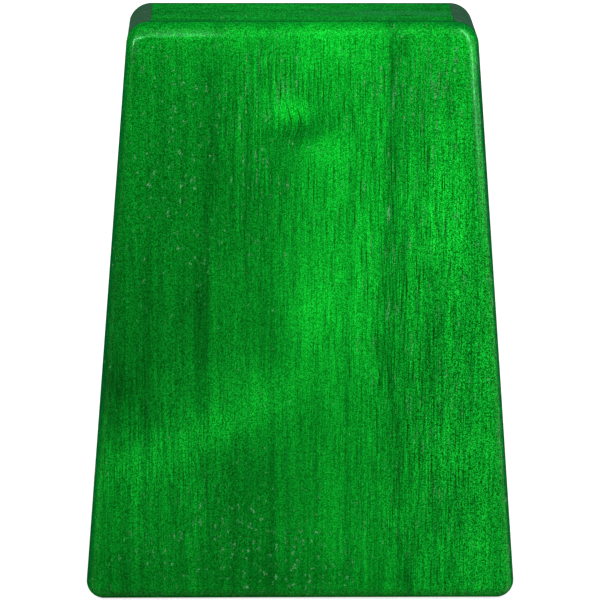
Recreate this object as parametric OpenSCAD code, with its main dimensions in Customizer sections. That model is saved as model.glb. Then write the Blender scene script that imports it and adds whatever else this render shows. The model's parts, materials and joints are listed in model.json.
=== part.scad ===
// Box kalimba: a hollow tapered sound box with a row of spring-steel tines on its soundboard.
// Units are millimetres. The box stands on its wide end, +Z up, with its back towards -Y and
// its tines towards +Y. The origin is the middle of the wide end, halfway through the box.
// Left and right are the player's, who looks at the tines: left is +X.

/* [Sound box] */
// Length from the wide end to the narrow end
body_length = 185; // [183:1:200]
// Width of the wide end, measured to its sharp corners
wide_width = 136; // [128:1:150]
// Width of the narrow end, measured to its sharp corners
narrow_width = 106; // [106:1:112]
// Depth from the back to the soundboard's outer face
body_depth = 40; // [34:1:50]
// Thickness of the back and of the soundboard
plate_thickness = 5.5; // [5.1:0.1:7]
// Radius rounded over the outer edges of both plates
edge_radius = 5; // [2:0.5:5]
// Radius of the two corners at the wide end, seen from the back
wide_corner_radius = 5.5; // [5.1:0.1:6]
// Radius of the two corners at the narrow end, seen from the back
narrow_corner_radius = 7.2; // [5.1:0.1:7.2]
// Thickness of the two long side walls
side_thickness = 6.9; // [6.8:0.1:9]
// Thickness of the end pieces set between the side walls
end_thickness = 9; // [6:0.5:12]
// Diameter of the sound hole
sound_hole_diameter = 32; // [24:1:40]
// Distance of the sound hole's centre from the wide end
sound_hole_z = 44; // [36:1:50]

/* [Tines] */
// Number of tines
tine_count = 17; // [9:2:17]
// Distance from one tine to the next
tine_pitch = 6; // [5.8:0.1:6]
// Length of the longest tine from the front bridge to its tip
longest_tongue = 64; // [56:1:66]
// Length of the tines behind the rear bridge
tail_length = 10; // [8:1:12]
// Width of a tine where it crosses the bridges
tine_width = 3.4; // [3:0.1:3.4]
// Width of a tine at its tip
tip_width = 5; // [4:0.1:5.2]
// Thickness of a tine at the bridges
tine_thickness = 1.1; // [0.9:0.05:1.2]
// Thickness of a tine at its tip
tip_thickness = 0.8; // [0.6:0.05:0.9]
// Length of the upturned tip, measured along the tine
tip_bend_length = 12; // [8:0.5:14]
// Angle that the tip turns up through
tip_bend_angle = 22; // [5:1:30]
// Radius of the tip's two corners
tip_corner_radius = 1.6; // [0.8:0.1:1.8]
// Angle at which the tines rise from the soundboard towards their tips
tine_slope = 3; // [1:0.5:5]

/* [Bridges] */
// Distance of the front bridge's crest from the wide end
front_bridge_z = 142; // [138:1:144]
// Distance from the front bridge's crest to the rear bridge's crest
bridge_spacing = 22; // [20:1:24]
// Height of the tines' underside above the soundboard, over the front bridge
tine_rise = 11; // [9:0.5:14]
// Width of the front bridge
front_bridge_width = 10; // [8:0.5:12]
// Width of the rear bridge
rear_bridge_width = 8; // [6:0.5:9]
// Radius of the rear bridge's rounded crest
rear_crest_radius = 6; // [5:0.5:8]
// Diameter of the rod along the front bridge
rod_diameter = 4; // [3:0.1:5]
// Diameter of the round that the half-round pressure bar is cut from
bar_diameter = 8; // [6:0.5:9]
// Length that the bridges and the bar reach past the middle of the outer tines
bridge_margin = 2; // [1.9:0.1:2.4]

/* [Screws] */
// Diameter of the screws' shanks
screw_diameter = 2; // [1.6:0.1:2.1]
// Diameter of the screws' heads
screw_head_diameter = 3.8; // [3.2:0.1:5]
// Height of the screws' heads
screw_head_height = 1.6; // [1.2:0.1:2.5]
// Length of screw that bites into the block inside
screw_bite = 8; // [5:0.5:10]
// Depth of the block inside, under the soundboard
block_depth = 12; // [11:0.5:16]
// Width of the block inside
block_width = 12; // [8:1:14]

/* [Hidden] */
$fn = 64;
// Free room between a tine and whatever it passes, and at the line where a tine bends
tine_clearance = 0.2;
bend_gap = 0.1;
// The rod's groove, and the screws' holes in the bar and the soundboard, are this much wider
groove_clearance = 0.1;
hole_clearance = 0.2;
// A pilot hole is this much smaller in diameter than its screw
pilot_bite = 0.3;
// Chamfer of the front bridge's edges, and how far its rod stands above it
bridge_chamfer = 1.2;
rod_proud = 1.6;
// Hexagon socket of a screw, across its flats
socket_width = 1.6;
socket_depth = 0.8;
// How far a cutting shape runs past what it cuts
overcut = 1;
// Flats round a plate's edge, along a tine's upturned tip and round each of the tip's corners
edge_steps = 8;
bend_steps = 8;
corner_steps = 6;
// Flats round a full turn at a plate's corners, and round one corner of a side wall
plate_corner_sides = 48;
wall_corner_steps = 12;

half_depth = body_depth / 2;
joint_depth = half_depth - plate_thickness;
taper = atan((wide_width - narrow_width) / 2 / body_length);
// Half width of the box, and half width inside its side walls, at a height z
function half_width(z) = wide_width / 2 - z * tan(taper);
function half_inside(z) = half_width(z) - side_thickness / cos(taper);
// Centre of a corner's arc, which lies one corner radius in from the two edges
function centre_x(z, radius) = half_width(z) - radius / cos(taper);
low_z = wide_corner_radius;
high_z = body_length - narrow_corner_radius;
low_x = centre_x(low_z, wide_corner_radius);
high_x = centre_x(high_z, narrow_corner_radius);
corners = [[-low_x, low_z], [low_x, low_z], [high_x, high_z], [-high_x, high_z]];
corner_radii = [wide_corner_radius, wide_corner_radius, narrow_corner_radius, narrow_corner_radius];
// Directions that the wide end, the +X side and the narrow end face, in degrees
edge_facing = [-90, taper, 90];

// Tines run from the player's left; the longest is in the middle and they shorten to both sides
middle = (tine_count + 1) / 2;
function tine_x(i) = (middle - i) * tine_pitch;
function scale_degree(i) = i < middle ? 2 * (middle - i) - 1 : 2 * (i - middle);
major_scale = [0, 2, 4, 5, 7, 9, 11];
function semitones(i) =
    let (degree = scale_degree(i)) major_scale[degree % 7] + 12 * floor(degree / 7);
// A bar's pitch goes with one over the square of its length
function tongue_length(i) = longest_tongue * pow(2, -semitones(i) / 24);
shank_length = bridge_spacing / cos(tine_slope) + tail_length;

// Heights above the soundboard, and places along Z
pivot_rise = tine_rise + tine_thickness / 2;
rod_centre_rise = tine_rise - tine_clearance - rod_diameter / 2;
front_bridge_rise = rod_centre_rise + rod_diameter / 2 - rod_proud;
rear_bridge_rise = tine_rise - bridge_spacing * tan(tine_slope) - tine_clearance;
rear_bridge_z = front_bridge_z + bridge_spacing;
bar_z = front_bridge_z + bridge_spacing / 2;
tine_top_at_bar = tine_rise + tine_thickness - (bridge_spacing / 2) * tan(tine_slope);
bar_top_rise = tine_top_at_bar + tine_clearance + bar_diameter / 2;
bridge_length = (tine_count - 1) * tine_pitch + 2 * bridge_margin;

// The screws stand in the gaps between tines
half_count = floor(tine_count / 2);
outer_screw = (half_count - 1.5) * tine_pitch;
inner_screw = (floor(half_count / 2) - 1.5) * tine_pitch;
screw_xs = [-outer_screw, -inner_screw, inner_screw, outer_screw];
screw_tip_rise = -plate_thickness - screw_bite;
screw_hole_diameter = screw_diameter + hole_clearance;
block_length = 2 * outer_screw + block_width;

function two_digits(i) = str(i < 10 ? "0" : "", i);
function shank_name(i) = str("tine_", two_digits(i), "_shank");
function tongue_name(i) = str("tine_", two_digits(i), "_tongue");

// Lays a shape drawn in X and Z, with its depth towards -Y, at a depth y
module upright(y) {
    translate([0, y, 0]) rotate([90, 0, 0]) children();
}

// Round post square to the soundboard at a place on it, between two heights above its outer face
module post(x, z, low, high, diameter, sides = $fn) {
    translate([x, half_depth + low, z]) rotate([-90, 0, 0])
        cylinder(h = high - low, d = diameter, $fn = sides);
}

// Sets a shape on a tine's own line: Y runs along the tine to its tip and Z out of its top
module on_tine(i) {
    translate([tine_x(i), half_depth + pivot_rise, front_bridge_z])
        rotate([tine_slope - 90, 0, 0]) children();
}

// A round bar along X through a place on the soundboard
module along_x(length, diameter, rise, z) {
    translate([-length / 2, half_depth + rise, z]) rotate([0, 90, 0]) cylinder(h = length, d = diameter);
}

// A box along X that stands on the soundboard
module strip_on_soundboard(length, width, rise, z) {
    translate([-length / 2, half_depth, z - width / 2]) cube([length, rise, width]);
}

// Section of a plate from a corner's centre out to its rounded edge
module plate_edge(radius) {
    flat = radius - edge_radius;
    upstand = plate_thickness - edge_radius;
    polygon(concat(
        [[0, plate_thickness], [0, 0], [radius, 0]],
        [for (k = [0:edge_steps])
            let (a = k * 90 / edge_steps) [flat, upstand] + edge_radius * [cos(a), sin(a)]]
    ));
}

// Tapered board with round corners, its outer edge rounded over
module plate() {
    hull() for (i = [0:3]) translate(corners[i])
        rotate_extrude($fn = plate_corner_sides) plate_edge(corner_radii[i]);
}

module back_plate() {
    color("seagreen") upright(-joint_depth) plate();
}

module soundboard() {
    color("seagreen") difference() {
        mirror([0, 1, 0]) upright(-joint_depth) plate();
        post(0, sound_hole_z, -plate_thickness - overcut, overcut, sound_hole_diameter);
        for (x = screw_xs) post(x, bar_z, -plate_thickness - overcut, overcut, screw_hole_diameter);
    }
}

// Points round one of the box's corners on the +X side
function corner_arc(i) = [for (k = [0:wall_corner_steps])
    let (a = edge_facing[i - 1] + k * (edge_facing[i] - edge_facing[i - 1]) / wall_corner_steps)
    corners[i] + corner_radii[i] * [cos(a), sin(a)]];

// Long side wall on the +X side, with the box's two corners on its ends
module side_wall() {
    upright(joint_depth) linear_extrude(2 * joint_depth) polygon(concat(
        [[half_inside(0), 0]], corner_arc(1), corner_arc(2), [[half_inside(body_length), body_length]]
    ));
}

module left_side() {
    color("darkgreen") side_wall();
}

module right_side() {
    color("darkgreen") mirror([1, 0, 0]) side_wall();
}

// End piece set between the side walls, from height z0 to z1
module end_piece(z0, z1) {
    color("green") upright(joint_depth) linear_extrude(2 * joint_depth) polygon([
        [-half_inside(z0), z0], [half_inside(z0), z0], [half_inside(z1), z1], [-half_inside(z1), z1]
    ]);
}

module top_end() {
    end_piece(body_length - end_thickness, body_length);
}

module bottom_end() {
    end_piece(0, end_thickness);
}

module bridge_block() {
    color("burlywood") difference() {
        translate([-block_length / 2, joint_depth - block_depth, bar_z - block_width / 2])
            cube([block_length, block_depth, block_width]);
        for (x = screw_xs)
            post(x, bar_z, screw_tip_rise - overcut, overcut, screw_diameter - pilot_bite);
    }
}

// Hardwood strip with chamfered long edges and a groove along its crest
module front_bridge() {
    half = front_bridge_width / 2;
    color("saddlebrown") difference() {
        translate([-bridge_length / 2, half_depth, front_bridge_z]) rotate([90, 0, 90])
            linear_extrude(bridge_length) polygon([
                [0, -half], [0, half], [front_bridge_rise - bridge_chamfer, half],
                [front_bridge_rise, half - bridge_chamfer], [front_bridge_rise, bridge_chamfer - half],
                [front_bridge_rise - bridge_chamfer, -half]
            ]);
        along_x(bridge_length + 2 * overcut, rod_diameter + groove_clearance,
                rod_centre_rise, front_bridge_z);
    }
}

module bridge_rod() {
    color("silver") along_x(bridge_length, rod_diameter, rod_centre_rise, front_bridge_z);
}

// Hardwood strip with a rounded crest
module rear_bridge() {
    color("saddlebrown") intersection() {
        strip_on_soundboard(bridge_length, rear_bridge_width, rear_bridge_rise + overcut, rear_bridge_z);
        along_x(bridge_length + 2 * overcut, 2 * rear_crest_radius,
                rear_bridge_rise - rear_crest_radius, rear_bridge_z);
    }
}

// Half-round bar, its round side on the tines and its flat side outwards
module pressure_bar() {
    color("lightgray") difference() {
        intersection() {
            strip_on_soundboard(bridge_length, bar_diameter + overcut, bar_top_rise, bar_z);
            along_x(bridge_length + 2 * overcut, bar_diameter, bar_top_rise, bar_z);
        }
        for (x = screw_xs) post(x, bar_z, 0, bar_top_rise + overcut, screw_hole_diameter);
    }
}

// Screw with a plain shank and a round head that has a hexagon socket
module screw(x) {
    head_top = bar_top_rise + screw_head_height;
    socket_floor = head_top - socket_depth;
    difference() {
        union() {
            post(x, bar_z, screw_tip_rise, socket_floor, screw_diameter);
            post(x, bar_z, bar_top_rise, head_top, screw_head_diameter);
        }
        post(x, bar_z, socket_floor, head_top + overcut, socket_width / cos(30), sides = 6);
    }
}

module pressure_bar_screws() {
    color("dimgray") for (x = screw_xs) screw(x);
}

// Flat strip from the bend line back under the bar and over the rear bridge
module tine_shank(i) {
    color("gainsboro") on_tine(i)
        translate([-tine_width / 2, -shank_length, -tine_thickness / 2])
            cube([tine_width, shank_length - bend_gap / 2, tine_thickness]);
}

// Radius of the upturned tip, and the point and slope of a tongue's middle line at a distance s
bend_radius = tip_bend_length / (tip_bend_angle * PI / 180);
function slope_at(length, s) = max(0, s - length + tip_bend_length) / bend_radius * 180 / PI;
function line_at(length, s) =
    let (turn = slope_at(length, s), straight = min(s, length - tip_bend_length))
    [straight + bend_radius * sin(turn), bend_radius * (1 - cos(turn))];
function thickness_at(length, s) = tine_thickness + (tip_thickness - tine_thickness) * s / length;
// Point on a tongue's top (side 1) or underside (side -1)
function face_at(length, s, side) =
    let (turn = slope_at(length, s))
    line_at(length, s) + side * thickness_at(length, s) / 2 * [-sin(turn), cos(turn)];

// Tongue: its side view carried across, cut to its plan, which widens to a tip with round corners
module tine_tongue(i) {
    length = tongue_length(i);
    step = tip_bend_length / bend_steps;
    stations = concat([bend_gap / 2], [for (k = [0:bend_steps + 1]) length - tip_bend_length + k * step]);
    last = len(stations) - 1;
    shoulder = line_at(length, length)[0] - tip_corner_radius;
    corner_x = tip_width / 2 - tip_corner_radius;
    arc = [for (k = [0:corner_steps]) k * 90 / corner_steps];
    color("gainsboro") on_tine(i) intersection() {
        translate([-tip_width / 2, 0, 0]) rotate([90, 0, 90]) linear_extrude(tip_width) polygon(concat(
            [for (s = stations) face_at(length, s, -1)],
            [for (k = [last:-1:0]) face_at(length, stations[k], 1)]
        ));
        translate([0, 0, -tip_width]) linear_extrude(3 * tip_width) polygon(concat(
            [[-tine_width / 2, 0], [tine_width / 2, 0]],
            [for (a = arc) [corner_x + tip_corner_radius * cos(a), shoulder + tip_corner_radius * sin(a)]],
            [for (a = arc) [-corner_x - tip_corner_radius * sin(a), shoulder + tip_corner_radius * cos(a)]]
        ));
    }
}

back_plate();
soundboard();
left_side();
right_side();
top_end();
bottom_end();
bridge_block();
front_bridge();
bridge_rod();
rear_bridge();
pressure_bar();
pressure_bar_screws();
for (i = [1:tine_count]) {
    tine_shank(i);
    tine_tongue(i);
}
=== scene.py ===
"""Looks of a box kalimba: a tapered sound box of green stained wood, with seventeen steel tines.

Shapes are worked out in millimetres and turned into metres when a mesh is made. X runs across the box,
with the player's left at +X, Y from the back to the tines, and Z from the wide end to the narrow end.
"""
import json
import math

import bmesh
import bpy
import numpy as np
from mathutils import Matrix, Vector


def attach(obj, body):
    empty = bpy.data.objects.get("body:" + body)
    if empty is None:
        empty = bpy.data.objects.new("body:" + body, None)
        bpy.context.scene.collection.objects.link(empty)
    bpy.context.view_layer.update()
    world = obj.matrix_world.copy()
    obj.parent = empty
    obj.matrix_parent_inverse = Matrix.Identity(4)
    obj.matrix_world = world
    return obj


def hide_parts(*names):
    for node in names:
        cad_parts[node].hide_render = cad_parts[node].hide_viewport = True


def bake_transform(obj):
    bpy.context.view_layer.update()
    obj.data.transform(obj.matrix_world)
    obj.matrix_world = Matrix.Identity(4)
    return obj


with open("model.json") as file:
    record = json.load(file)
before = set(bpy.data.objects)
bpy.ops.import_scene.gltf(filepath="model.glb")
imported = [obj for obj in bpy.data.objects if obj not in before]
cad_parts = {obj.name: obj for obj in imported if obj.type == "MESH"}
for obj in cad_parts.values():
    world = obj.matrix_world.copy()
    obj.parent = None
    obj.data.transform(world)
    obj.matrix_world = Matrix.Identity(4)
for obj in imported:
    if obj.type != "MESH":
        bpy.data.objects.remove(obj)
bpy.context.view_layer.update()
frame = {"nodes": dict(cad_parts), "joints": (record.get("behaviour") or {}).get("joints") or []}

MM = 0.001

# Sound box, in millimetres; the seam is a small bevel along each glued joint
LENGTH = 185.0
WIDE_HALF = 68.0
NARROW_HALF = 53.0
JOINT_DEPTH = 14.5
PLATE = 5.5
EDGE_RADIUS = 5.0
WIDE_CORNER = 5.5
NARROW_CORNER = 7.2
SIDE_WALL = 6.9
END_WALL = 9.0
SEAM = 0.16
SOUND_HOLE_RADIUS = 16.0
SOUND_HOLE_Z = 44.0
HOLE_RIM = 1.2
FRONT = JOINT_DEPTH + PLATE
TAPER = math.atan((WIDE_HALF - NARROW_HALF) / LENGTH)

# Tines
TINE_COUNT = 17
MIDDLE_TINE = 9
LONGEST_TONGUE = 64.0
SHANK = 32.0
TINE_WIDTH = 3.4
TIP_WIDTH = 5.0
TINE_THICKNESS = 1.1
TIP_THICKNESS = 0.8
TIP_BEND = 12.0
TIP_TURN = math.radians(22)
TIP_CORNER = 1.6
# A tine's tail is rounded over the first of these, and its straight run starts at the second
TAIL_ROUND = 0.4
TAIL_END = 0.5
TINE_SLOPE = math.radians(3)
SCALE_STEPS = (0, 2, 4, 5, 7, 9, 11)

# Bridges, bar and screws; a rise is a height above the soundboard
BRIDGE_Z = 142.0
REAR_Z = 164.0
BAR_Z = 153.0
STRIP_HALF_LENGTH = 50.0
BRIDGE_HALF_WIDTH = 5.0
BRIDGE_RISE = 9.2
BRIDGE_CHAMFER = 1.2
ROD_RISE = 8.8
ROD_RADIUS = 2.0
GROOVE_RADIUS = 2.05
REAR_HALF_WIDTH = 4.0
REAR_RISE = 9.65
REAR_CREST = 6.0
BAR_RADIUS = 4.0
BAR_RISE = 15.72
SCREW_PLACES = (-39.0, -15.0, 15.0, 39.0)
SCREW_TIP_RISE = -13.5
SCREW_TIP_RADIUS = 0.15
SCREW_POINT = 1.6
SCREW_RADIUS = 1.0
HEAD_RADIUS = 1.9
HEAD_HEIGHT = 1.6
HEAD_EDGE = 0.4
HEAD_BREAK = 0.15
SOCKET_HALF_WIDTH = 0.8
SOCKET_DEPTH = 0.8
SOCKET_MOUTH = 0.12

# Edges that turn by more than these stay sharp in the shading, or get a bevel
SHARP_ANGLE = math.radians(32)
BEVEL_ANGLE = math.radians(30)


def half_width(z):
    """Half the width of the box at a height: a straight line from the wide end to the narrow end."""
    return WIDE_HALF - z * math.tan(TAPER)


def half_inside(z):
    """Half the width between the side walls at a height."""
    return half_width(z) - SIDE_WALL / math.cos(TAPER)


# Surfaces


def rounded_loop(corners, radii, inset, arc_steps, run_points):
    """A polygon, counter-clockwise, with its edges moved in by inset and an arc at each corner.

    An arc's centre lies one radius in from both edges, along the sum of their inward directions divided by
    one plus the product of these. Its points run evenly through the angle that the outline turns there.
    run_points more points divide each straight run evenly."""
    corners = np.asarray(corners, float)
    coming = corners - np.roll(corners, 1, axis=0)
    coming /= np.linalg.norm(coming, axis=1, keepdims=True)
    inward = np.stack([-coming[:, 1], coming[:, 0]], axis=1)
    inward_next = np.roll(inward, -1, axis=0)
    both = (inward + inward_next) / (1 + np.sum(inward * inward_next, axis=1, keepdims=True))
    radius = np.maximum(np.broadcast_to(radii, len(corners)) - inset, SEAM / 2)
    centre = corners + (inset + radius[:, None]) * both
    start = np.arctan2(-inward[:, 1], -inward[:, 0])
    stop = np.arctan2(-inward_next[:, 1], -inward_next[:, 0])
    turn = (stop - start) % (2 * math.pi)
    angle = start[:, None] + turn[:, None] * np.linspace(0, 1, arc_steps + 1)
    arcs = centre[:, None] + radius[:, None, None] * np.stack([np.cos(angle), np.sin(angle)], axis=2)
    share = np.linspace(0, 1, run_points + 2)[1:-1, None]
    runs = arcs[:, -1:] * (1 - share) + np.roll(arcs[:, :1], -1, axis=0) * share
    return np.concatenate([arcs, runs], axis=1).reshape(-1, 2)


def quarter(steps):
    """Sine and cosine of evenly spaced angles from 0 to a right angle, as two arrays."""
    angle = np.linspace(0, math.pi / 2, steps + 1)
    return np.sin(angle), np.cos(angle)


def upright(loop, depth):
    """Points drawn in X and Z, laid at a depth along Y."""
    return np.stack([loop[:, 0], np.full(len(loop), depth), loop[:, 1]], axis=1)


def across(loop, x):
    """Points drawn in Y and Z, laid at a place along X."""
    return np.stack([np.full(len(loop), x), loop[:, 0], loop[:, 1]], axis=1)


def new_object(name, data):
    """An object for a mesh, a lamp or a camera, put into the scene."""
    made = bpy.data.objects.new(name, data)
    bpy.context.scene.collection.objects.link(made)
    return made


def skin(name, rings, looped=False, shifts=((0.0, 0.0, 0.0),)):
    """Joins a stack of rings into a closed surface and makes it an object.

    rings has the shape (rows, points, 3), in millimetres. Point j of row i joins point j + 1 and row i + 1
    in a four-sided face. The end rows are closed by one flat face each, or joined to each other where
    looped. shifts places separate copies."""
    rings = np.asarray(rings, float)
    rows, count = rings.shape[:2]
    place = np.arange(rows * count).reshape(rows, count)
    upper = np.roll(place, -1, axis=0) if looped else place[1:]
    lower = place if looped else place[:-1]
    quads = np.stack([lower, np.roll(lower, -1, 1), np.roll(upper, -1, 1), upper], axis=2).reshape(-1, 4)
    faces = quads.tolist() + ([] if looped else [place[0, ::-1].tolist(), place[-1].tolist()])
    points = rings.reshape(-1, 3)
    all_points = np.concatenate([points + shift for shift in shifts]) * MM
    all_faces = [[i + k * len(points) for i in face] for k in range(len(shifts)) for face in faces]
    mesh = bpy.data.meshes.new(name)
    mesh.from_pydata(all_points.tolist(), [], all_faces)
    outward = bmesh.new()
    outward.from_mesh(mesh)
    bmesh.ops.recalc_face_normals(outward, faces=outward.faces)
    outward.to_mesh(mesh)
    outward.free()
    mesh.shade_smooth()
    mesh.set_sharp_from_angle(angle=SHARP_ANGLE)
    return new_object(name, mesh)


def soften(piece, width):
    """Rounds a piece's sharp edges with a bevel of a width in millimetres."""
    bevel = piece.modifiers.new("soft_edges", "BEVEL")
    bevel.width = width * MM
    bevel.segments = 3
    bevel.limit_method = "ANGLE"
    bevel.angle_limit = BEVEL_ANGLE
    bevel.harden_normals = True
    return piece


def finish(piece, slot, nodes, *materials):
    """Gives a piece its materials and hides the CAD nodes that it stands for; its slot is not used."""
    for material in materials:
        piece.data.materials.append(material)
    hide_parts(*nodes)
    return piece


def face_values(mesh, name):
    """A vector that every face of a mesh has, as an array of three columns."""
    values = np.empty(len(mesh.polygons) * 3, np.float32)
    mesh.polygons.foreach_get(name, values)
    return values.reshape(-1, 3)


def share_out(piece):
    """Gives a wooden piece's second material to the hollow's lining, and a third to its ends cut across."""
    mesh = piece.data
    x, y, z = face_values(mesh, "center").T / MM
    slack = 0.05
    end_facing = 0.3
    lining = (np.abs(x) < half_inside(z) + slack) & (np.abs(y) < JOINT_DEPTH + slack)
    lining &= (z > END_WALL - slack) & (z < LENGTH - END_WALL + slack)
    cut = np.abs(face_values(mesh, "normal")[:, 2]) > end_facing
    index = np.where(lining, 1, np.where(cut & (len(mesh.materials) > 2), 2, 0))
    mesh.polygons.foreach_set("material_index", index.astype(np.int32))
    mesh.update()
    return piece


# Sound box


def box_loop(inset):
    """Outline of the box seen square on, moved in by inset, with its four corners as arcs."""
    corners = [(-WIDE_HALF, 0), (WIDE_HALF, 0), (NARROW_HALF, LENGTH), (-NARROW_HALF, LENGTH)]
    radii = [WIDE_CORNER, WIDE_CORNER, NARROW_CORNER, NARROW_CORNER]
    return rounded_loop(corners, radii, inset, arc_steps=14, run_points=24)


def plate_edge(side):
    """Rings of a plate from its glued face out and over its rounded edge, at Y = side * depth.

    Up the edge the outline moves in by radius * (1 - cos a) while the depth grows by radius * sin a."""
    sine, cosine = quarter(16)
    inset = np.concatenate([[SEAM, 0.0], EDGE_RADIUS * (1 - cosine), [EDGE_RADIUS + SEAM]])
    depth = np.concatenate([[0.0, SEAM], PLATE - EDGE_RADIUS + EDGE_RADIUS * sine, [PLATE]])
    return [upright(box_loop(i), side * (JOINT_DEPTH + d)) for i, d in zip(inset, depth)]


def back_plate():
    """One board: the rounded edge, closed by a flat face on the glued side and on the outside."""
    return skin("back_board", plate_edge(-1))


def hole_rings():
    """Rings of the sound hole, each point in the same direction from its centre as a point of the outline.

    The wall runs straight out and its rim opens by rim * (1 - cos a) over the last rim * sin a of depth."""
    centre = np.array([0.0, SOUND_HOLE_Z])
    ray = box_loop(EDGE_RADIUS) - centre
    ray /= np.linalg.norm(ray, axis=1, keepdims=True)
    sine, cosine = quarter(8)
    radius = SOUND_HOLE_RADIUS + np.concatenate([[0.0], HOLE_RIM * (1 - cosine), [HOLE_RIM + SEAM]])
    depth = np.concatenate([[0.0], PLATE - HOLE_RIM + HOLE_RIM * sine, [PLATE]])
    return [upright(centre + r * ray, JOINT_DEPTH + d) for r, d in zip(radius, depth)]


def soundboard():
    """One board with a hole: out of the hole, over the face, round the edge and back on the glued side."""
    return skin("front_board", hole_rings() + plate_edge(1)[::-1], looped=True)


def box_wall(name, corners, radii):
    """A wall of the box: its outline in X and Z carried from the back to the soundboard."""
    inset = np.array([SEAM, 0.0, 0.0, SEAM])
    depth = np.array([-JOINT_DEPTH, SEAM - JOINT_DEPTH, JOINT_DEPTH - SEAM, JOINT_DEPTH])
    loops = [rounded_loop(corners, radii, i, arc_steps=10, run_points=4) for i in inset]
    return skin(name, [upright(loop, d) for loop, d in zip(loops, depth)])


def side_wall(name, side):
    """A long side wall with the box's two corners on its ends; side is 1 at +X and -1 at -X."""
    corners = [
        (half_inside(0), 0),
        (half_width(0), 0),
        (half_width(LENGTH), LENGTH),
        (half_inside(LENGTH), LENGTH),
    ]
    radii = [SEAM, WIDE_CORNER, NARROW_CORNER, SEAM]
    turned = [(side * x, z) for x, z in corners][::side]
    return box_wall(name, turned, radii[::side])


def end_wall(name, low, high):
    """An end piece between the side walls, from one height to another."""
    corners = [
        (-half_inside(low), low),
        (half_inside(low), low),
        (half_inside(high), high),
        (-half_inside(high), high),
    ]
    return box_wall(name, corners, SEAM)


# Bridges, rod, bar and screws


def strip(name, loop):
    """A profile in Y and Z carried along X over the length of the bridges."""
    return skin(name, [across(loop, x) for x in np.linspace(-STRIP_HALF_LENGTH, STRIP_HALF_LENGTH, 9)])


def arc(centre, radius, start, end, steps):
    """Points evenly along an arc in Y and Z, with angles in degrees from +Y towards +Z."""
    angle = np.radians(np.linspace(start, end, steps + 1))
    return np.asarray(centre) + radius * np.stack([np.cos(angle), np.sin(angle)], axis=1)


def front_bridge():
    """A strip with chamfered long edges and a round groove along its crest, open through the crest."""
    crest = FRONT + BRIDGE_RISE
    shoulder = crest - BRIDGE_CHAMFER
    flat = BRIDGE_HALF_WIDTH - BRIDGE_CHAMFER
    mouth = math.degrees(math.acos((BRIDGE_RISE - ROD_RISE) / GROOVE_RADIUS))
    before = [(FRONT, -BRIDGE_HALF_WIDTH), (shoulder, -BRIDGE_HALF_WIDTH), (crest, -flat)]
    after = [(y, -z) for y, z in before[::-1]]
    groove = arc((FRONT + ROD_RISE, 0.0), GROOVE_RADIUS, -mouth, mouth - 360, steps=24)
    loop = np.concatenate([before, groove, after]) + (0.0, BRIDGE_Z)
    return soften(strip("bridge_front", loop), width=0.3)


def rear_bridge():
    """A strip with a rounded crest: an arc between two upright sides."""
    crest_turn = math.degrees(math.asin(REAR_HALF_WIDTH / REAR_CREST))
    crest = arc((FRONT + REAR_RISE - REAR_CREST, 0.0), REAR_CREST, -crest_turn, crest_turn, steps=20)
    foot = [(FRONT, REAR_HALF_WIDTH), (FRONT, -REAR_HALF_WIDTH)]
    loop = np.concatenate([crest, foot]) + (0.0, REAR_Z)
    return soften(strip("bridge_rear", loop), width=0.4)


def bridge_rod():
    """A round rod along X with its ends rounded off."""
    circle = arc((0.0, 0.0), 1.0, 0, 345, steps=23)
    sine, cosine = quarter(4)
    end_round = 0.5
    radius = ROD_RADIUS - end_round * (1 - np.concatenate([sine, sine[::-1]]))
    end_place = STRIP_HALF_LENGTH - end_round * (1 - cosine[::-1])
    place = np.concatenate([-end_place[::-1], end_place])
    centre = np.array([FRONT + ROD_RISE, BRIDGE_Z])
    return skin("rod", [across(centre + r * circle, x) for r, x in zip(radius, place)])


def pressure_bar():
    """A half-round bar along X, its round side on the tines and its flat side outwards."""
    loop = arc((FRONT + BAR_RISE, BAR_Z), BAR_RADIUS, 90, 270, steps=32)
    return soften(strip("bar", loop), width=0.35)


def screws():
    """Screws with a pointed tip, a plain shank and a round head with a hexagon socket.

    Each is a radius carried round its axis. In the socket the radius is half the width across the flats
    divided by the cosine of the angle to the nearest flat's middle."""
    angle = np.linspace(0, 2 * math.pi, 48, endpoint=False)
    hexagon = SOCKET_HALF_WIDTH / np.cos((angle + math.pi / 6) % (math.pi / 3) - math.pi / 6)
    sine, cosine = quarter(5)
    head_low = BAR_RISE
    head_high = BAR_RISE + HEAD_HEIGHT
    round_radii = np.concatenate([
        [SCREW_TIP_RADIUS, SCREW_RADIUS, SCREW_RADIUS, HEAD_RADIUS - HEAD_BREAK, HEAD_RADIUS],
        HEAD_RADIUS - HEAD_EDGE * (1 - cosine),
    ])
    round_rises = np.concatenate([
        [SCREW_TIP_RISE, SCREW_TIP_RISE + SCREW_POINT, head_low, head_low, head_low + HEAD_BREAK],
        head_high - HEAD_EDGE * (1 - sine),
    ])
    radii = [np.full(len(angle), r) for r in round_radii] + [hexagon + SOCKET_MOUTH, hexagon, hexagon]
    rises = [*round_rises, head_high, head_high - SOCKET_MOUTH, head_high - SOCKET_DEPTH]
    rings = [
        np.stack([r * np.cos(angle), np.full(len(angle), FRONT + rise), BAR_Z + r * np.sin(angle)], axis=1)
        for r, rise in zip(radii, rises)
    ]
    return skin("bar_screws", rings, shifts=[(x, 0.0, 0.0) for x in SCREW_PLACES])


# Tines


def tongue_length(number):
    """Length of a tine's plucked end, by the scale: a bar's pitch goes with one over its length squared."""
    offset = MIDDLE_TINE - number
    degree = 2 * offset - 1 if offset > 0 else -2 * offset
    octave, step = divmod(degree, len(SCALE_STEPS))
    semitones = SCALE_STEPS[step] + 12 * octave
    return LONGEST_TONGUE * 2 ** (-semitones / 24)


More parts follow.
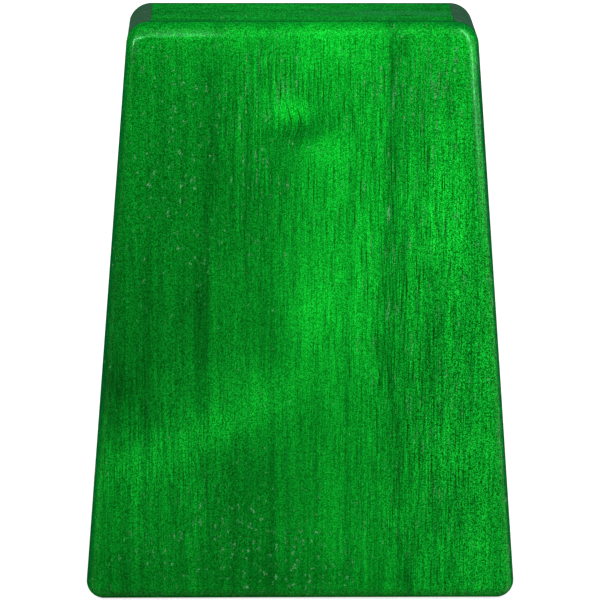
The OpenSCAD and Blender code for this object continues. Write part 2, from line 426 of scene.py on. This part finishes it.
def tine(number, pivot):
    """A steel strip from its tail to its tip, its section carried along a line that turns up at the end.

    The line is straight up to the tip bend and then an arc. The section is a rounded box, with half its
    width times a power of the cosine and half its thickness times the same power of the sine. Near the tip
    half the width shrinks by corner * (1 - sqrt(1 - t * t)), where t runs from 0 to 1 over the corner, and
    the tail is narrowed and thinned by the square of such a t."""
    length = tongue_length(number)
    bend_start = length - TIP_BEND
    tail = -SHANK + TAIL_ROUND * (1 - quarter(4)[1])
    straight = np.linspace(-SHANK + TAIL_END, bend_start, 48)
    bent = np.linspace(bend_start, length - TIP_CORNER, 16)[1:]
    corner = length - TIP_CORNER + TIP_CORNER * quarter(8)[0][1:]
    s = np.concatenate([tail, straight, bent, corner])
    share = np.clip(s / length, 0, 1)
    half = (TINE_WIDTH + (TIP_WIDTH - TINE_WIDTH) * share) / 2
    near_tip = np.clip((s - length + TIP_CORNER) / TIP_CORNER, 0, 1)
    near_tail = np.clip((tail[-1] - s) / TAIL_ROUND, 0, 1)
    tail_narrowing = 0.35
    half = half - TIP_CORNER * (1 - np.sqrt(1 - near_tip ** 2)) - tail_narrowing * near_tail ** 2
    tip_thinning = 0.35
    tail_thinning = 0.3
    thick = (TINE_THICKNESS + (TIP_THICKNESS - TINE_THICKNESS) * share) / 2
    thick = thick * (1 - tip_thinning * near_tip ** 4 - tail_thinning * near_tail ** 2)
    turn = np.clip(s - bend_start, 0, None) / TIP_BEND * TIP_TURN
    bend_radius = TIP_BEND / TIP_TURN
    ahead = np.minimum(s, bend_start) + bend_radius * np.sin(turn)
    rise = bend_radius * (1 - np.cos(turn))
    around = np.linspace(0, 2 * math.pi, 28, endpoint=False)
    box_power = 0.3
    side = np.sign(np.cos(around)) * np.abs(np.cos(around)) ** box_power
    face = np.sign(np.sin(around)) * np.abs(np.sin(around)) ** box_power
    x = pivot[0] + half[:, None] * side
    along = ahead[:, None] - thick[:, None] * np.sin(turn)[:, None] * face
    up = rise[:, None] + thick[:, None] * np.cos(turn)[:, None] * face
    y = pivot[1] + along * math.sin(TINE_SLOPE) + up * math.cos(TINE_SLOPE)
    z = pivot[2] - along * math.cos(TINE_SLOPE) + up * math.sin(TINE_SLOPE)
    return skin(f"tine_{number:02d}", np.stack([x, y, z], axis=2))


# Materials


class Wire:
    """A socket in a material's node tree, with operators that add Math nodes."""

    def __init__(self, tree, socket=None):
        self.tree = tree
        self.socket = socket

    def add(self, kind, sockets=(), out=0, stops=None, **settings):
        """Adds a node: its settings and ramp stops first, then values or links for its sockets."""
        node = self.tree.nodes.new("ShaderNode" + kind)
        for name, value in settings.items():
            setattr(node, name, value)
        if stops:
            ramp = node.color_ramp.elements
            while len(ramp) < len(stops):
                ramp.new(1.0)
            for element, (position, colour) in zip(ramp, stops):
                element.position = position
                element.color = (*colour, 1.0)
        for key, value in dict(sockets).items():
            if isinstance(value, Wire):
                self.tree.links.new(value.socket, node.inputs[key])
            else:
                node.inputs[key].default_value = value
        return Wire(self.tree, node.outputs[out] if node.outputs else None)

    def maths(self, operation, *values):
        """A Math node on values or wires."""
        return self.add("Math", enumerate(values), operation=operation)

    def vector(self, operation, *values, out=0):
        """A Vector Math node on vectors or wires."""
        return self.add("VectorMath", enumerate(values), out, operation=operation)

    def step(self, low, high):
        """A smooth step from 0 to 1 as the value goes from low to high."""
        sockets = {"Value": self, "From Min": low, "From Max": high}
        return self.add("MapRange", sockets, interpolation_type="SMOOTHSTEP")

    def noise(self, size, detail, roughness=0.5, shift=(0.0, 0.0, 0.0)):
        """Noise on this vector, with grains of a size along each axis, swinging about 0."""
        scaled = self.vector("MULTIPLY_ADD", self, tuple(1 / s for s in size), shift)
        sockets = {"Vector": scaled, "Scale": 1.0, "Detail": detail, "Roughness": roughness}
        return self.add("TexNoise", sockets) - 0.5

    def cells(self, size, shift, out=1):
        """Small cells of a size along each axis: a random value from 0 to 1 in each, or with out=0 how far
        a point is from the middle of its cell, counted in that size."""
        scaled = self.vector("MULTIPLY_ADD", self, tuple(1 / s for s in size), shift)
        return self.add("TexVoronoi", {"Vector": scaled, "Scale": 1.0}, out)

    def tint(self, colour, amount):
        """This colour mixed towards another by an amount."""
        return self.add("Mix", {0: amount, 6: self, 7: colour}, 2, data_type="RGBA")

    def ramp(self, stops):
        """This value as a colour between stops."""
        return self.add("ValToRGB", {0: self}, stops=stops)

    def __add__(self, other):
        return self.maths("ADD", self, other)

    def __sub__(self, other):
        return self.maths("SUBTRACT", self, other)

    def __rsub__(self, other):
        return self.maths("SUBTRACT", other, self)

    def __mul__(self, other):
        return self.maths("MULTIPLY", self, other)

    __radd__ = __add__
    __rmul__ = __mul__


def new_material(name):
    """An empty material, and a wire that adds nodes to it."""
    material = bpy.data.materials.new(name)
    material.use_nodes = True
    material.node_tree.nodes.clear()
    return material, Wire(material.node_tree)


def close(wire, shader):
    """Ends a material in a shader."""
    wire.add("OutputMaterial", {"Surface": shader})


def millimetres(wire):
    """Object coordinates in millimetres."""
    return wire.vector("MULTIPLY", wire.add("TexCoord", out=3), (1 / MM, 1 / MM, 1 / MM))


def surface(wire, bump=None, **sockets):
    """A Principled shader, with a bump height and its depth in millimetres where they are given."""
    named = {key.replace("_", " "): value for key, value in sockets.items()}
    if bump is not None:
        height, depth = bump
        named["Normal"] = wire.add("Bump", {"Height": height, "Strength": 1.0, "Distance": depth * MM})
    return wire.add("BsdfPrincipled", named)


# Green stain, from the darkest wood to the lightest, and what shows in it
STAIN = (
    (0.0, (0.0002, 0.035, 0.0020)),
    (0.25, (0.0005, 0.125, 0.0060)),
    (0.5, (0.0010, 0.260, 0.0110)),
    (0.75, (0.0016, 0.430, 0.0170)),
    (1.0, (0.0040, 0.680, 0.0300)),
)
SPARKLE = ((0.0, (0.1, 0.20, 0.10)), (0.5, (0.9, 0.95, 0.90)), (1.0, (8.0, 2.10, 3.4)))
FLECK = ((0.0, (0.003, 0.090, 0.010)), (0.5, (0.016, 0.180, 0.034)), (1.0, (0.110, 0.320, 0.150)))
PORE_LINE = (0.001, 0.030, 0.001, 1.0)
# Painted shade for the rounded edges where they turn from the lamps, and the dark joint lines at the seams,
# partly painted shade
EDGE_SHADE_AND_JOINT_LINE = (0.001, 0.070, 0.016, 1.0)
GREY_STREAK = (0.014, 0.165, 0.050, 1.0)
LACQUER_TINT = (0.03, 1.0, 0.1, 1.0)
CLEAR_TINT = (0.24, 1.0, 0.44, 1.0)

# The other woods and the metals, each from dark to light
CUT_GREENS = ((0.0, (0.010, 0.044, 0.020)), (0.5, (0.026, 0.082, 0.043)), (1.0, (0.064, 0.140, 0.086)))
PALE_BROWNS = ((0.0, (0.20, 0.105, 0.055)), (0.5, (0.34, 0.20, 0.11)), (1.0, (0.46, 0.30, 0.18)))
DARK_BROWNS = ((0.0, (0.022, 0.010, 0.006)), (0.5, (0.060, 0.027, 0.014)), (1.0, (0.125, 0.060, 0.030)))
DARK_PORE = (0.010, 0.005, 0.004, 1.0)
TINE_GREYS = ((0.0, (0.32, 0.32, 0.33)), (0.5, (0.47, 0.47, 0.48)), (1.0, (0.60, 0.60, 0.61)))
ROD_GREYS = ((0.0, (0.45, 0.45, 0.45)), (0.5, (0.62, 0.62, 0.61)), (1.0, (0.75, 0.75, 0.74)))
BAR_GREYS = ((0.0, (0.34, 0.34, 0.34)), (0.5, (0.50, 0.50, 0.49)), (1.0, (0.62, 0.62, 0.61)))
SCREW_GREYS = ((0.0, (0.05, 0.05, 0.055)), (0.5, (0.09, 0.09, 0.095)), (1.0, (0.16, 0.16, 0.165)))

# Soft patches of lighter and darker tone: the wood's figure, and on the back also painted light and shade.
# Columns: across, up, half width, half height, lean in degrees, tone
BACK_FIGURE_AND_SHADE = (
    (2, 180, 52, 12, 0, 0.10),
    (-8, 182, 42, 4, 0, 0.07),
    (0, 1, 72, 4, 0, 0.14),
    (50, 8, 22, 14, 0, 0.07),
    (8, 176, 10, 12, 0, 0.18),
    (52, 178, 7, 9, 0, 0.12),
    (22, 164, 5, 18, 0, 0.10),
    (-54, 178, 10, 14, 0, -0.08),
    (-42, 148, 14, 26, 0, -0.08),
    (-10, 164, 7, 9, 0, 0.14),
    (-3, 158, 6, 5, 0, 0.32),
    (0, 152, 6, 4, 0, -0.20),
    (7, 146, 7, 6, 0, 0.22),
    (12, 115, 13, 38, 0, 0.15),
    (5, 93, 7, 14, 0, 0.16),
    (20, 102, 6, 22, 0, 0.09),
    (27.3, 172, 1.7, 16, 0, -0.15),
    (27, 120, 1.7, 40, 0, -0.07),
    (28.6, 62, 1.7, 26, 2.5, -0.10),
    (33.5, 9, 1.8, 12, 4, -0.13),
    (25, 56, 2, 26, 0, 0.06),
    (0, 90, 4, 28, 0, 0.08),
    (7, 136, 5, 20, 0, 0.04),
    (22, 110, 4, 80, 0, 0.02),
    (38, 118, 6, 16, 0, 0.10),
    (46, 130, 11, 34, 0, 0.11),
    (41.5, 96, 3, 24, 0, -0.14),
    (34, 92, 2, 22, 0, 0.06),
    (33, 145, 1.5, 14, 0, 0.06),
    (50, 40, 14, 28, 0, -0.06),
    (60, 80, 12, 90, 0, 0.06),
    (43, 105, 8, 95, 0, 0.05),
    (46, 52, 9, 10, 0, 0.12),
    (-45, 92, 18, 36, 0, -0.16),
    (-57, 70, 9, 12, 0, -0.14),
    (-58, 95, 8, 60, 0, -0.06),
    (-31, 97, 6, 18, 0, -0.06),
    (-20, 126, 12, 22, 0, -0.10),
    (-28, 57, 34, 7, 26, 0.16),
    (-14, 72, 9, 8, 26, 0.10),
    (-18, 26, 12, 26, 0, -0.14),
    (-10, 7, 9, 9, 0, -0.06),
    (0, 4, 70, 10, 0, -0.10),
    (-28.8, 125, 2.2, 70, -2.5, -0.15),
    (-32, 168, 4, 14, 0, -0.09),
    (-13, 168, 1.5, 14, 0, -0.12),
    (-49, 168, 2, 10, 0, -0.08),
    (-9.3, 75, 1.5, 70, 0, -0.10),
    (-6, 145, 2, 10, 0, -0.06),
    (-58, 8, 12, 12, 0, -0.06),
    (-37, 10, 1.5, 10, 0, -0.07),
    (7, 8, 5, 10, 0, -0.05),
    (59, 52, 4, 14, 0, 0.05),
)
FRONT_FIGURE = (
    (-40, 120, 16, 60, 0, 0.16),
    (8, 60, 14, 50, 0, -0.14),
    (42, 90, 9, 70, 0, 0.12),
    (25, 140, 5, 90, 0, -0.12),
    (-12, 30, 9, 40, 0, 0.12),
    (-25, 80, 2, 110, 0, -0.12),
    (50, 30, 14, 22, 20, -0.10),
)
# Where the dark lines are strong, the speckle coarse and the pale flecks many
BACK_LINES = (
    (28, 125, 34, 62, 0, 0.8),
    (42, 40, 24, 50, 0, 0.7),
    (-8, 162, 20, 30, 0, 0.6),
    (2, 147, 12, 6, 0, -0.9),
    (-46, 48, 24, 26, 0, 0.6),
)
BACK_SPECKLE = (
    (54, 75, 24, 100, 0, 0.42),
    (-50, 110, 30, 110, 0, 0.18),
    (-20, 30, 18, 40, 0, 0.12),
)
BACK_FLECKS = (
    (-30, 150, 22, 34, 0, 0.65),
    (-12, 130, 9, 24, 0, 0.5),
    (36, 165, 20, 16, 0, 1.1),
    (-9, 168, 9, 12, 0, 0.7),
    (-26, 18, 34, 22, 0, 0.85),
    (14, 14, 16, 14, 0, 0.5),
    (27, 120, 2, 60, 0, 0.6),
    (50, 70, 16, 70, 0, 0.35),
    # This row puts pale and dark flecks in a thin line down the right rim, where that rim shows greyish
    (60.3, 80, 0.9, 90, 4.6, 1.3),
)
# Greyer streaks in the narrow end's piece: across, then a fifth of the depth
END_STREAK = (
    (34, -0.3, 24, 0.7, -1.2, 0.6),
    (10, -1.0, 18, 0.4, -0.8, 0.35),
)
# The knot: across, up, half width and half height, and how far the grain moves aside there
KNOT = (-1.0, 154.0, 5.0, 5.0)
KNOT_SHIFT = 1.8


def soft_patch(point, across, up, half_x, half_z, lean=0.0):
    """e to minus the squared distance from a place on a board, counted in half sizes."""
    sockets = {
        "Vector": point,
        "Location": (across, 0.0, up),
        "Rotation": (0.0, -math.radians(lean), 0.0),
        "Scale": (half_x, 1e5, half_z),
    }
    local = point.add("Mapping", sockets, vector_type="TEXTURE")
    return point.maths("POWER", 1 / math.e, local.vector("DOT_PRODUCT", local, local, out=1))


def patch_sum(point, patches, base):
    """A base value plus each soft patch times its tone."""
    total = base
    for *shape, tone in patches:
        total = soft_patch(point, *shape) * tone + total
    return total


def round_knot(point):
    """The place moved along X by a soft patch, so that the grain bends aside at the knot."""
    return point.vector("ADD", point, point.add("CombineXYZ", {0: soft_patch(point, *KNOT) * -KNOT_SHIFT}))


def over_edge(wire, face, colour, fleck, gloss, x, depth, z):
    """A board's shader with those of its rounded edge mixed in, by place and by depth from the middle.

    Where the edge turns to the side its colour is darkened as painted shade, weaker near both ends of the
    box and stronger on the upper right and next to the seam, where it is partly a dark joint line; there
    the lacquer is dull too. At the narrow end's corners a clearer lacquer shows, smoother at the left one.
    Left and right are as seen from the back."""
    # Painted shade where the edge turns from the lamps, weaker at both ends, more on the upper right; by
    # the seam partly a dark joint
    shade_by_height = z.step(2.0, 9.0) * 0.5 + 0.2 - z.step(172.0, 182.0) * 0.5
    turned_edge_shade = (1.0 - depth.step(16.8, 19.6)) * shade_by_height
    seam_joint_and_shade = (1.0 - depth.step(14.9, 16.2)) * 0.6
    upper_right_shade = (1.0 - depth.step(18.2, 19.6)) * x.step(38.0, 48.0) * z.step(90.0, 150.0) * 0.35
    darker = colour.tint(EDGE_SHADE_AND_JOINT_LINE, (turned_edge_shade + seam_joint_and_shade + upper_right_shade) * (1.0 - fleck))
    dull = surface(wire, Base_Color=darker, Roughness=0.7, Specular_IOR_Level=0.0)
    clear = surface(
        wire, Base_Color=colour, Roughness=x.step(0.0, 30.0) * 0.08 + fleck * 0.2 + 0.17,
        Specular_IOR_Level=gloss, IOR=1.33, Specular_Tint=CLEAR_TINT
    )
    right_corner = x.step(43.0, 49.0) * z.step(105.0, 150.0)
    left_corner = (x * -1.0).step(20.0, 34.0) * z.step(172.0, 179.0)
    off_the_flat = 1.0 - depth.step(19.6, 19.95)
    lacquered = wire.add("MixShader", {0: off_the_flat * (right_corner + left_corner), 1: face, 2: clear})
    outside = (depth + x * 0.004).step(18.2, 18.9) * z.step(1.0, 5.0)
    return wire.add("MixShader", {0: outside, 1: dull, 2: lacquered})


def stained_wood(name, base, tone_patches=(), lines=(), coarse=(), flecks=(), streaks=(), line_base=0.2,
                 grit=0.55, grain="Z", shift=(0.0, 0.0, 0.0), gloss=0.9, knot=False, edge=True):
    """Open-pored wood under green stain and gloss lacquer, its grain along Z or X.

    Its tone is a base, soft patches, ribbons and fine lines, read off the stain's ramp and multiplied cell
    by cell for the speckle. Dark pores, long thin drops round the middles of cells, and flecks, clusters of
    pale and dark dots, lie on it. A board with a rounded edge gets that edge's shaders too."""
    material, wire = new_material(name)
    place = millimetres(wire)
    x, y, z = (place.add("SeparateXYZ", {0: place}, out=axis) for axis in range(3))
    depth = y.maths("ABSOLUTE", y)
    if grain == "X":
        turn = {"Vector": place, "Rotation": (math.pi / 2, 0.0, 0.0), "Scale": (1.0, 0.2, 1.0)}
        place = place.add("Mapping", turn)
    grown = round_knot(place) if knot else place

    def along(width, length):
        return (width, width, length) if grain == "Z" else (length, width, width)

    def grain_noise(width, length, detail=1.0):
        return grown.noise(along(width, length), detail, shift=shift)

    line_weight = patch_sum(place, lines, line_base)
    # Broad tone from soft patches, which on the back are partly painted light and shade
    broad = patch_sum(place, tone_patches, place.noise((40, 40, 60), detail=1.0, shift=shift) * 0.2)
    ribbon = grain_noise(3.2, 130, 3.0) * 0.3 + grain_noise(1.1, 60) * 0.14
    line = grain_noise(0.32, 9)
    grains = place.cells((0.24, 0.24, 0.26), shift).step(0.2, 0.8)
    tone = ribbon + line * (line_weight * 0.7 + 0.1) + broad + base
    pores = (1.0 - grown.cells(along(0.7, 18), shift, 0).step(0.15, 0.32)) * line_weight
    short = grain_noise(1.4, 2.0)
    long = grain_noise(0.8, 10)
    dots = place.cells((0.34, 0.34, 0.4), shift).step(0.3, 0.8)
    cluster = short + (long - short) * line_weight + patch_sum(place, flecks, 0.0) * 0.1
    fleck = cluster.step(0.14, 0.24) * 0.75
    stain = tone.ramp(STAIN).tint(PORE_LINE, pores * 0.9)
    sparkling = stain.vector("MULTIPLY", stain, grains.ramp(SPARKLE))
    colour = stain.tint(sparkling, patch_sum(place, coarse, grit)).tint(dots.ramp(FLECK), fleck)
    if grain == "X":
        colour = colour.tint(GREY_STREAK, patch_sum(place, streaks, 0.15) * (line * 2.0 + 0.9))
        # Darker towards the seams with the back and the soundboard: a dark joint line, partly painted shade
        # in the crease
        colour = colour.tint(EDGE_SHADE_AND_JOINT_LINE, depth.step(13.0, 14.4) * 0.6)
    bump = (line * 0.4 + pores * -0.6 + fleck * -0.5, 0.008)
    shader = surface(
        wire, bump, Base_Color=colour, Roughness=0.2 + fleck * 0.2, Specular_IOR_Level=gloss, IOR=1.22,
        Specular_Tint=LACQUER_TINT
    )
    if edge:
        shader = over_edge(wire, shader, colour, fleck, gloss, x, depth, z)
    close(wire, shader)
    return material


def cut_wood(name):
    """Dull grey-green end grain, where the stain has soaked in: dark with fine pale dots."""
    material, wire = new_material(name)
    place = millimetres(wire)
    dots = place.noise((0.45, 0.45, 2.0), detail=2.0)
    tone = dots * 1.2 + place.noise((5.0, 1.5, 5.0), detail=1.0) * 0.5 + 0.45
    colour = tone.ramp(CUT_GREENS)
    close(wire, surface(wire, (dots, 0.03), Base_Color=colour, Roughness=0.8, Specular_IOR_Level=0.0))
    return material


def bare_wood(name):
    """Unstained pale brown wood inside the box."""
    material, wire = new_material(name)
    place = millimetres(wire)
    ribbon = place.noise((3.0, 3.0, 90), detail=3.0)
    fibre = place.noise((0.5, 0.5, 12), detail=3.0, roughness=0.6)
    tone = ribbon * 0.9 + fibre * 0.8 + 0.5
    colour = tone.ramp(PALE_BROWNS)
    close(wire, surface(wire, (fibre, 0.04), Base_Color=colour, Roughness=0.75 + fibre * 0.2))
    return material


def bridge_wood(name):
    """Oiled dark brown hardwood with its grain along X."""
    material, wire = new_material(name)
    place = millimetres(wire)
    ribbon = place.noise((60, 1.2, 1.2), detail=3.0)
    pores = place.noise((5, 0.25, 0.25), detail=1.0).step(0.10, 0.2)
    tone = ribbon * 1.2 + place.noise((8, 0.3, 0.3), detail=2.0) * 0.6 + 0.45
    colour = tone.ramp(DARK_BROWNS).tint(DARK_PORE, pores * 0.8)
    close(wire, surface(wire, (ribbon - pores, 0.03), Base_Color=colour, Roughness=0.38 + pores * 0.2))
    return material


def brushed_steel(name, greys, roughness, along):
    """Steel with fine brush lines, long in the named axes, and faint cloudy stains."""
    material, wire = new_material(name)
    place = millimetres(wire)
    long_size = 40.0
    fine_size = 0.3
    size = tuple(long_size if axis in along else fine_size for axis in "XYZ")
    lines = place.noise(size, detail=3.0, roughness=0.7)
    cloud = place.noise((4, 4, 9), detail=3.0)
    tone = lines * 1.2 + cloud * 0.8 + 0.42
    rough = lines * 0.3 + cloud * 0.2 + roughness
    close(wire, surface(wire, (lines, 0.006), Base_Color=tone.ramp(greys), Metallic=1.0, Roughness=rough))
    return material


# Pieces, with those of the box on its body

back_stain = stained_wood(
    "stained_back", 0.325, BACK_FIGURE_AND_SHADE, BACK_LINES, BACK_SPECKLE, BACK_FLECKS, knot=True
)
front_stain = stained_wood("stained_front", 0.38, FRONT_FIGURE, line_base=0.6, shift=(31.0, 17.0, 5.0))
side_stain = stained_wood("stained_sides", 0.33, line_base=0.5, shift=(7.0, 3.0, 11.0), edge=False)
end_stain = stained_wood(
    "stained_ends", 0.36, streaks=END_STREAK, line_base=0.3, grit=0.5, grain="X", shift=(5.0, 23.0, 9.0),
    gloss=0.0, edge=False
)
cut_stain = cut_wood("cut_ends")
inside_wood = bare_wood("bare_inside")
dark_hardwood = bridge_wood("oiled_hardwood")
tine_steel = brushed_steel("brushed_spring_steel", TINE_GREYS, roughness=0.27, along="YZ")
rod_steel = brushed_steel("drawn_rod_steel", ROD_GREYS, roughness=0.2, along="X")
bar_steel = brushed_steel("brushed_bar_steel", BAR_GREYS, roughness=0.3, along="XY")
screw_steel = brushed_steel("black_screw_steel", SCREW_GREYS, roughness=0.35, along="Y")

box_pieces = (
    (back_plate(), "back_plate", (back_stain, inside_wood)),
    (soundboard(), "soundboard", (front_stain, inside_wood)),
    (side_wall("wall_left", 1), "left_side", (side_stain, inside_wood, cut_stain)),
    (side_wall("wall_right", -1), "right_side", (side_stain, inside_wood, cut_stain)),
    (end_wall("wall_top", LENGTH - END_WALL, LENGTH), "top_end", (end_stain, inside_wood)),
    (end_wall("wall_bottom", 0.0, END_WALL), "bottom_end", (end_stain, inside_wood)),
)
for piece, node, materials in box_pieces:
    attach(share_out(finish(piece, "stained_wood", [node], *materials)), "sound_box")
hardware = (
    (front_bridge(), "bridge_wood", "front_bridge", dark_hardwood),
    (rear_bridge(), "bridge_wood", "rear_bridge", dark_hardwood),
    (bridge_rod(), "rod_steel", "bridge_rod", rod_steel),
    (pressure_bar(), "bar_steel", "pressure_bar", bar_steel),
    (screws(), "screw_steel", "pressure_bar_screws", screw_steel),
)
for piece, slot, node, material in hardware:
    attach(finish(piece, slot, [node], material), "sound_box")

block = frame["nodes"]["bridge_block"]
block.data.materials.clear()
block.data.materials.append(inside_wood)

pivots = {
    joint["name"]: np.array(joint["pos_m"]) / MM for joint in frame["joints"] if joint["type"] == "hinge"
}
for number in range(1, TINE_COUNT + 1):
    stem = f"tine_{number:02d}"
    pivot = pivots[stem + "_pluck"]
    strip_of_steel = finish(
        tine(number, pivot), "tine_steel", [stem + "_shank", stem + "_tongue"], tine_steel
    )
    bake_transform(strip_of_steel)

# Floor, lights and camera, in metres

LAMP_AIM = (0.0, 0.0, 0.09)
# Lamps: name, the two ends of its length, width, radiance
LAMPS = (
    ("leaning_strip", (-0.065, -0.66, 0.28), (0.105, -0.40, 1.10), 0.05, 10.5),
    ("left_band", (-0.57, -0.38, 0.40), (-0.09, -0.68, 0.40), 0.09, 13.5),
    ("left_strip", (-0.52, -0.21, 0.20), (-0.52, -0.21, 0.36), 0.06, 25.0),
    ("left_low_strip", (-0.52, -0.21, 0.15), (-0.52, -0.21, 0.20), 0.05, 25.0),
    ("right_low_strip", (0.36, -0.19, 0.105), (0.36, -0.19, 0.16), 0.03, 40.0),
    ("right_strip", (0.53, -0.37, 0.25), (0.30, -0.22, 0.85), 0.08, 23.0),
    ("tine_side_box", (-0.90, 0.80, 0.70), (0.00, 1.20, 0.70), 0.60, 4.5),
)


def shown_white(wire):
    """1 for the rays that the camera, a reflection or a clear body sends out, and 0 for the light's own."""
    outputs = wire.add("LightPath").socket.node.outputs
    kinds = ("Is Camera Ray", "Is Glossy Ray", "Is Transmission Ray")
    camera, glossy, clear = (Wire(wire.tree, outputs[kind]) for kind in kinds)
    return wire.maths("MINIMUM", camera + glossy + clear, 1.0)


def pale_floor():
    """A wide pale floor that looks white and keeps the shadow, a little brighter far from the lamps."""
    half = 8.0
    level = -0.0002
    mesh = bpy.data.meshes.new("floor")
    corners = [(-half, -half, level), (half, -half, level), (half, half, level), (-half, half, level)]
    mesh.from_pydata(corners, [], [(0, 1, 2, 3)])
    floor = new_object("floor", mesh)
    material, wire = new_material("pale_floor")
    matt = wire.add("BsdfDiffuse", {"Color": (0.4, 0.4, 0.4, 1.0)})
    place = wire.add("TexCoord", out=3)
    near_glow = 0.8
    far_gain = 0.15
    away = place.vector("LENGTH", place, out=1).step(0.35, 1.1)
    glow = wire.add("Emission", {"Color": away * far_gain + near_glow, "Strength": shown_white(wire)})
    close(wire, wire.add("AddShader", {0: matt, 1: glow}))
    floor.data.materials.append(material)


def studio_world(ambient):
    """A world that looks white and lights the object with a weaker, even light."""
    world = bpy.data.worlds.new("studio")
    bpy.context.scene.world = world
    world.use_nodes = True
    world.node_tree.nodes.clear()
    wire = Wire(world.node_tree)
    strength = shown_white(wire) * (1.0 - ambient) + ambient
    background = wire.add("Background", {"Color": (1.0, 1.0, 1.0, 1.0), "Strength": strength})
    wire.add("OutputWorld", {"Surface": background})


def soft_box(name, low, high, width, radiance):
    """A long lamp from one point to another, turned about its length to face the middle of the box.

    Its power is pi times area times radiance."""
    place = (Vector(low) + Vector(high)) / 2
    length = Vector(high) - Vector(low)
    side = (Vector(LAMP_AIM) - place).cross(length).normalized()
    back = side.cross(length).normalized()
    lamp = bpy.data.lights.new(name, "AREA")
    lamp.shape = "RECTANGLE"
    lamp.size = width
    lamp.size_y = length.length
    lamp.energy = math.pi * width * length.length * radiance
    holder = new_object(name, lamp)
    turned = Matrix((side, length.normalized(), back)).transposed().to_4x4()
    holder.matrix_world = Matrix.Translation(place) @ turned
    holder.visible_camera = False


def photo_camera(distance, azimuth, elevation, roll, aim, lens):
    """A camera on a sphere round its aim: azimuth from -Y towards +X, elevation and roll, in degrees."""
    a, e, r = (math.radians(angle) for angle in (azimuth, elevation, roll))
    back = Vector((math.sin(a) * math.cos(e), -math.cos(a) * math.cos(e), math.sin(e)))
    right = Vector((0.0, 0.0, 1.0)).cross(back).normalized()
    up = back.cross(right)
    turned = (math.cos(r) * right + math.sin(r) * up, math.cos(r) * up - math.sin(r) * right, back)
    camera = new_object("camera", bpy.data.cameras.new("camera"))
    camera.data.lens = lens
    camera.data.sensor_width = 36.0
    camera.data.clip_end = 50.0
    place = Vector(aim) + distance * back
    camera.matrix_world = Matrix.Translation(place) @ Matrix(turned).transposed().to_4x4()
    bpy.context.scene.camera = camera


bpy.context.scene.view_settings.view_transform = "Standard"
pale_floor()
studio_world(ambient=0.25)
for lamp in LAMPS:
    soft_box(*lamp)
photo_camera(
    distance=1.111,
    azimuth=-1.158,
    elevation=15.422,
    roll=0.243,
    aim=(-0.000162, 0.0, 0.09328),
    lens=212.284,
)
